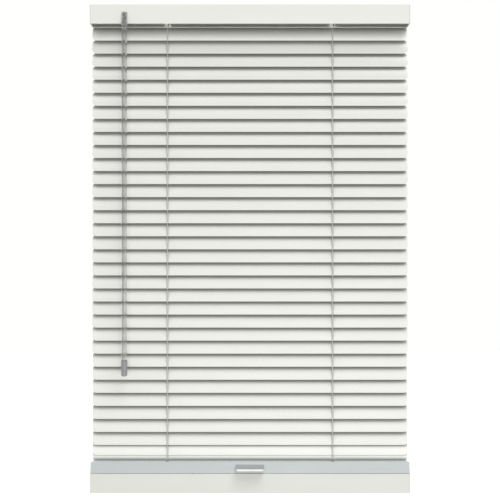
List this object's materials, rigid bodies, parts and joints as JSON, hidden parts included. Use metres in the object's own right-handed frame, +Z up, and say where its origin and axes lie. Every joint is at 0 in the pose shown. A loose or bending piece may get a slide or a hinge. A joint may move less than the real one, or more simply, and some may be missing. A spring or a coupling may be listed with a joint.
{
  "type": "venetian blind",
  "caption": "Cordless aluminium venetian blind with a boxed headrail, wand tilter, crowned slats on ladder cords and a deep bottom rail with a lift handle, slats closed.",
  "frame": {"origin": "centre of the clip brackets' screw pattern, on the plane that they are screwed to, at the top of the headrail", "axes": "+X along the headrail to the right as seen from the room, +Y towards the window, +Z up"},
  "size_m": [0.52, 0.052, 0.7936],
  "materials": {
    "headrail_paint": "satin off-white baked enamel on rolled steel",
    "cover_enamel": "satin blue-grey coated aluminium strip",
    "end_cap_plastic": "fine-textured moulded plastic",
    "handle_plastic": "smooth moulded plastic",
    "slat_enamel": "satin off-white baked enamel on rolled aluminium",
    "plated_steel": "zinc-plated steel",
    "spring_steel": "rolled spring steel",
    "nylon": "natural moulded nylon",
    "wand_acrylic": "clear, slightly smoky acrylic",
    "smoked_plastic": "grey translucent plastic",
    "cord_polyester": "braided polyester cord"
  },
  "bodies": {
    "headrail": {"headrail": "headrail_paint", "headrail_end_caps": "end_cap_plastic", "mounting_brackets": "plated_steel", "ladder_cradles": "nylon", "tilter_housing": "nylon", "lift_cords": "cord_polyester"},
    "tilt_rod": {"tilt_rod": "plated_steel", "tilt_drums": "nylon", "tilter_worm_wheel": "nylon"},
    "tilter_worm": {"tilter_worm": "plated_steel"},
    "ladder_front_cords": {"ladder_front_cords": "cord_polyester"},
    "ladder_back_cords": {"ladder_back_cords": "cord_polyester"},
    "wand_hook_link": {"wand_hook_link": "plated_steel"},
    "wand_sleeve": {"wand_sleeve": "smoked_plastic"},
    "wand": {"wand": "wand_acrylic", "wand_grip": "smoked_plastic"},
    "bottom_rail": {"bottom_rail": "headrail_paint", "bottom_rail_cover": "cover_enamel", "bottom_rail_end_caps": "end_cap_plastic", "handle": "handle_plastic", "spring_motor_case": "nylon"},
    "lift_shaft": {"lift_shaft": "plated_steel", "cord_spools": "nylon", "spring_output_drum": "spring_steel"},
    "spring_storage_drum": {"spring_storage_drum": "spring_steel"},
    "slat_00": {"slat_00": "slat_enamel"},
    "slat_01": {"slat_01": "slat_enamel"},
    "slat_02": {"slat_02": "slat_enamel"},
    "slat_03": {"slat_03": "slat_enamel"},
    "slat_04": {"slat_04": "slat_enamel"},
    "slat_05": {"slat_05": "slat_enamel"},
    "slat_06": {"slat_06": "slat_enamel"},
    "slat_07": {"slat_07": "slat_enamel"},
    "slat_08": {"slat_08": "slat_enamel"},
    "slat_09": {"slat_09": "slat_enamel"},
    "slat_10": {"slat_10": "slat_enamel"},
    "slat_11": {"slat_11": "slat_enamel"},
    "slat_12": {"slat_12": "slat_enamel"},
    "slat_13": {"slat_13": "slat_enamel"},
    "slat_14": {"slat_14": "slat_enamel"},
    "slat_15": {"slat_15": "slat_enamel"},
    "slat_16": {"slat_16": "slat_enamel"},
    "slat_17": {"slat_17": "slat_enamel"},
    "slat_18": {"slat_18": "slat_enamel"},
    "slat_19": {"slat_19": "slat_enamel"},
    "slat_20": {"slat_20": "slat_enamel"},
    "slat_21": {"slat_21": "slat_enamel"},
    "slat_22": {"slat_22": "slat_enamel"},
    "slat_23": {"slat_23": "slat_enamel"},
    "slat_24": {"slat_24": "slat_enamel"},
    "slat_25": {"slat_25": "slat_enamel"},
    "slat_26": {"slat_26": "slat_enamel"},
    "slat_27": {"slat_27": "slat_enamel"},
    "slat_28": {"slat_28": "slat_enamel"},
    "slat_29": {"slat_29": "slat_enamel"},
    "slat_30": {"slat_30": "slat_enamel"},
    "slat_31": {"slat_31": "slat_enamel"},
    "slat_32": {"slat_32": "slat_enamel"},
    "slat_33": {"slat_33": "slat_enamel"},
    "slat_34": {"slat_34": "slat_enamel"}
  },
  "joints": [
    {"name": "tilt_rod_turn", "type": "hinge", "parent": "headrail", "child": "tilt_rod", "pos_m": [0, 0, -0.01449], "axis": [-1, 0, 0], "range_deg": [0, 148]},
    {"name": "worm_turn", "type": "hinge", "parent": "headrail", "child": "tilter_worm", "pos_m": [-0.203, -0.025, -0.0172], "axis": [0, 0.91, 0.4146], "range_deg": [0, 2664]},
    {"name": "front_cords_hang", "type": "hinge", "parent": "tilt_rod", "child": "ladder_front_cords", "pos_m": [0, -0.00209, -0.02903], "axis": [-1, 0, 0], "range_deg": [-148, 0]},
    {"name": "back_cords_hang", "type": "hinge", "parent": "tilt_rod", "child": "ladder_back_cords", "pos_m": [0, 0.00593, -0.00105], "axis": [-1, 0, 0], "range_deg": [-148, 0]},
    {"name": "wand_side_swing", "type": "hinge", "parent": "headrail", "child": "wand_hook_link", "pos_m": [-0.203, -0.025, -0.0172], "axis": [0, 1, 0], "range_deg": [-30, 30]},
    {"name": "wand_swing", "type": "hinge", "parent": "wand_hook_link", "child": "wand_sleeve", "pos_m": [-0.203, -0.025, -0.0172], "axis": [-1, 0, 0], "range_deg": [0, 60]},
    {"name": "wand_twist", "type": "hinge", "parent": "wand_sleeve", "child": "wand", "pos_m": [-0.203, -0.025, -0.0172], "axis": [0, 0, 1], "range_deg": [0, 2664]},
    {"name": "rail_lift", "type": "slide", "parent": "headrail", "child": "bottom_rail", "axis": [0, 0, 1], "range_m": [0, 0.008]},
    {"name": "lift_shaft_turn", "type": "hinge", "parent": "bottom_rail", "child": "lift_shaft", "pos_m": [0, 0.0054, -0.768], "axis": [-1, 0, 0], "range_deg": [0, 55]},
    {"name": "storage_drum_turn", "type": "hinge", "parent": "bottom_rail", "child": "spring_storage_drum", "pos_m": [0, -0.0086, -0.768], "axis": [-1, 0, 0], "range_deg": [-65, 0]},
    {"name": "slat_00_tilt", "type": "hinge", "parent": "headrail", "child": "slat_00", "pos_m": [0, 0, -0.0299], "axis": [-1, 0, 0], "range_deg": [0, 32]},
    {"name": "slat_01_tilt", "type": "hinge", "parent": "headrail", "child": "slat_01", "pos_m": [0, 0, -0.04076], "axis": [-1, 0, 0], "range_deg": [0, 148]},
    {"name": "slat_02_tilt", "type": "hinge", "parent": "headrail", "child": "slat_02", "pos_m": [0, 0, -0.06226], "axis": [-1, 0, 0], "range_deg": [0, 148]},
    {"name": "slat_03_tilt", "type": "hinge", "parent": "headrail", "child": "slat_03", "pos_m": [0, 0, -0.08376], "axis": [-1, 0, 0], "range_deg": [0, 148]},
    {"name": "slat_04_tilt", "type": "hinge", "parent": "headrail", "child": "slat_04", "pos_m": [0, 0, -0.10526], "axis": [-1, 0, 0], "range_deg": [0, 148]},
    {"name": "slat_05_tilt", "type": "hinge", "parent": "headrail", "child": "slat_05", "pos_m": [0, 0, -0.12676], "axis": [-1, 0, 0], "range_deg": [0, 148]},
    {"name": "slat_06_tilt", "type": "hinge", "parent": "headrail", "child": "slat_06", "pos_m": [0, 0, -0.14826], "axis": [-1, 0, 0], "range_deg": [0, 148]},
    {"name": "slat_07_tilt", "type": "hinge", "parent": "headrail", "child": "slat_07", "pos_m": [0, 0, -0.16976], "axis": [-1, 0, 0], "range_deg": [0, 148]},
    {"name": "slat_08_tilt", "type": "hinge", "parent": "headrail", "child": "slat_08", "pos_m": [0, 0, -0.19126], "axis": [-1, 0, 0], "range_deg": [0, 148]},
    {"name": "slat_09_tilt", "type": "hinge", "parent": "headrail", "child": "slat_09", "pos_m": [0, 0, -0.21276], "axis": [-1, 0, 0], "range_deg": [0, 148]},
    {"name": "slat_10_tilt", "type": "hinge", "parent": "headrail", "child": "slat_10", "pos_m": [0, 0, -0.23426], "axis": [-1, 0, 0], "range_deg": [0, 148]},
    {"name": "slat_11_tilt", "type": "hinge", "parent": "headrail", "child": "slat_11", "pos_m": [0, 0, -0.25576], "axis": [-1, 0, 0], "range_deg": [0, 148]},
    {"name": "slat_12_tilt", "type": "hinge", "parent": "headrail", "child": "slat_12", "pos_m": [0, 0, -0.27726], "axis": [-1, 0, 0], "range_deg": [0, 148]},
    {"name": "slat_13_tilt", "type": "hinge", "parent": "headrail", "child": "slat_13", "pos_m": [0, 0, -0.29876], "axis": [-1, 0, 0], "range_deg": [0, 148]},
    {"name": "slat_14_tilt", "type": "hinge", "parent": "headrail", "child": "slat_14", "pos_m": [0, 0, -0.32026], "axis": [-1, 0, 0], "range_deg": [0, 148]},
    {"name": "slat_15_tilt", "type": "hinge", "parent": "headrail", "child": "slat_15", "pos_m": [0, 0, -0.34176], "axis": [-1, 0, 0], "range_deg": [0, 148]},
    {"name": "slat_16_tilt", "type": "hinge", "parent": "headrail", "child": "slat_16", "pos_m": [0, 0, -0.36326], "axis": [-1, 0, 0], "range_deg": [0, 148]},
    {"name": "slat_17_tilt", "type": "hinge", "parent": "headrail", "child": "slat_17", "pos_m": [0, 0, -0.38476], "axis": [-1, 0, 0], "range_deg": [0, 148]},
    {"name": "slat_18_tilt", "type": "hinge", "parent": "headrail", "child": "slat_18", "pos_m": [0, 0, -0.40626], "axis": [-1, 0, 0], "range_deg": [0, 148]},
    {"name": "slat_19_tilt", "type": "hinge", "parent": "headrail", "child": "slat_19", "pos_m": [0, 0, -0.42776], "axis": [-1, 0, 0], "range_deg": [0, 148]},
    {"name": "slat_20_tilt", "type": "hinge", "parent": "headrail", "child": "slat_20", "pos_m": [0, 0, -0.44926], "axis": [-1, 0, 0], "range_deg": [0, 148]},
    {"name": "slat_21_tilt", "type": "hinge", "parent": "headrail", "child": "slat_21", "pos_m": [0, 0, -0.47076], "axis": [-1, 0, 0], "range_deg": [0, 148]},
    {"name": "slat_22_tilt", "type": "hinge", "parent": "headrail", "child": "slat_22", "pos_m": [0, 0, -0.49226], "axis": [-1, 0, 0], "range_deg": [0, 148]},
    {"name": "slat_23_tilt", "type": "hinge", "parent": "headrail", "child": "slat_23", "pos_m": [0, 0, -0.51376], "axis": [-1, 0, 0], "range_deg": [0, 148]},
    {"name": "slat_24_tilt", "type": "hinge", "parent": "headrail", "child": "slat_24", "pos_m": [0, 0, -0.53526], "axis": [-1, 0, 0], "range_deg": [0, 148]},
    {"name": "slat_25_tilt", "type": "hinge", "parent": "headrail", "child": "slat_25", "pos_m": [0, 0, -0.55676], "axis": [-1, 0, 0], "range_deg": [0, 148]},
    {"name": "slat_26_tilt", "type": "hinge", "parent": "headrail", "child": "slat_26", "pos_m": [0, 0, -0.57826], "axis": [-1, 0, 0], "range_deg": [0, 148]},
    {"name": "slat_27_tilt", "type": "hinge", "parent": "headrail", "child": "slat_27", "pos_m": [0, 0, -0.59976], "axis": [-1, 0, 0], "range_deg": [0, 148]},
    {"name": "slat_28_tilt", "type": "hinge", "parent": "headrail", "child": "slat_28", "pos_m": [0, 0, -0.62126], "axis": [-1, 0, 0], "range_deg": [0, 148]},
    {"name": "slat_29_tilt", "type": "hinge", "parent": "headrail", "child": "slat_29", "pos_m": [0, 0, -0.64276], "axis": [-1, 0, 0], "range_deg": [0, 148]},
    {"name": "slat_30_tilt", "type": "hinge", "parent": "headrail", "child": "slat_30", "pos_m": [0, 0, -0.66426], "axis": [-1, 0, 0], "range_deg": [0, 148]},
    {"name": "slat_31_tilt", "type": "hinge", "parent": "headrail", "child": "slat_31", "pos_m": [0, 0, -0.68576], "axis": [-1, 0, 0], "range_deg": [0, 148]},
    {"name": "slat_32_tilt", "type": "hinge", "parent": "headrail", "child": "slat_32", "pos_m": [0, 0, -0.70726], "axis": [-1, 0, 0], "range_deg": [0, 148]},
    {"name": "slat_33_tilt", "type": "hinge", "parent": "bottom_rail", "child": "slat_33", "pos_m": [0, 0, -0.72396], "axis": [-1, 0, 0], "range_deg": [0, 148]},
    {"name": "slat_34_tilt", "type": "hinge", "parent": "bottom_rail", "child": "slat_34", "pos_m": [0, 0, -0.73283], "axis": [-1, 0, 0], "range_deg": [0, 148]}
  ],
  "couplings": [
    {"joint": "worm_turn", "follows": "tilt_rod_turn", "ratio": 18},
    {"joint": "wand_twist", "follows": "tilt_rod_turn", "ratio": 18},
    {"joint": "front_cords_hang", "follows": "tilt_rod_turn", "ratio": -1},
    {"joint": "back_cords_hang", "follows": "tilt_rod_turn", "ratio": -1},
    {"joint": "lift_shaft_turn", "follows": "rail_lift", "rad_per_m": 117.65},
    {"joint": "storage_drum_turn", "follows": "rail_lift", "rad_per_m": -139.04},
    {"joint": "slat_00_tilt", "follows": "tilt_rod_turn", "ratio": 0.21622},
    {"joint": "slat_01_tilt", "follows": "tilt_rod_turn", "ratio": 1},
    {"joint": "slat_02_tilt", "follows": "tilt_rod_turn", "ratio": 1},
    {"joint": "slat_03_tilt", "follows": "tilt_rod_turn", "ratio": 1},
    {"joint": "slat_04_tilt", "follows": "tilt_rod_turn", "ratio": 1},
    {"joint": "slat_05_tilt", "follows": "tilt_rod_turn", "ratio": 1},
    {"joint": "slat_06_tilt", "follows": "tilt_rod_turn", "ratio": 1},
    {"joint": "slat_07_tilt", "follows": "tilt_rod_turn", "ratio": 1},
    {"joint": "slat_08_tilt", "follows": "tilt_rod_turn", "ratio": 1},
    {"joint": "slat_09_tilt", "follows": "tilt_rod_turn", "ratio": 1},
    {"joint": "slat_10_tilt", "follows": "tilt_rod_turn", "ratio": 1},
    {"joint": "slat_11_tilt", "follows": "tilt_rod_turn", "ratio": 1},
    {"joint": "slat_12_tilt", "follows": "tilt_rod_turn", "ratio": 1},
    {"joint": "slat_13_tilt", "follows": "tilt_rod_turn", "ratio": 1},
    {"joint": "slat_14_tilt", "follows": "tilt_rod_turn", "ratio": 1},
    {"joint": "slat_15_tilt", "follows": "tilt_rod_turn", "ratio": 1},
    {"joint": "slat_16_tilt", "follows": "tilt_rod_turn", "ratio": 1},
    {"joint": "slat_17_tilt", "follows": "tilt_rod_turn", "ratio": 1},
    {"joint": "slat_18_tilt", "follows": "tilt_rod_turn", "ratio": 1},
    {"joint": "slat_19_tilt", "follows": "tilt_rod_turn", "ratio": 1},
    {"joint": "slat_20_tilt", "follows": "tilt_rod_turn", "ratio": 1},
    {"joint": "slat_21_tilt", "follows": "tilt_rod_turn", "ratio": 1},
    {"joint": "slat_22_tilt", "follows": "tilt_rod_turn", "ratio": 1},
    {"joint": "slat_23_tilt", "follows": "tilt_rod_turn", "ratio": 1},
    {"joint": "slat_24_tilt", "follows": "tilt_rod_turn", "ratio": 1},
    {"joint": "slat_25_tilt", "follows": "tilt_rod_turn", "ratio": 1},
    {"joint": "slat_26_tilt", "follows": "tilt_rod_turn", "ratio": 1},
    {"joint": "slat_27_tilt", "follows": "tilt_rod_turn", "ratio": 1},
    {"joint": "slat_28_tilt", "follows": "tilt_rod_turn", "ratio": 1},
    {"joint": "slat_29_tilt", "follows": "tilt_rod_turn", "ratio": 1},
    {"joint": "slat_30_tilt", "follows": "tilt_rod_turn", "ratio": 1},
    {"joint": "slat_31_tilt", "follows": "tilt_rod_turn", "ratio": 1},
    {"joint": "slat_32_tilt", "follows": "tilt_rod_turn", "ratio": 1},
    {"joint": "slat_33_tilt", "follows": "tilt_rod_turn", "ratio": 1},
    {"joint": "slat_34_tilt", "follows": "tilt_rod_turn", "ratio": 1}
  ]
}
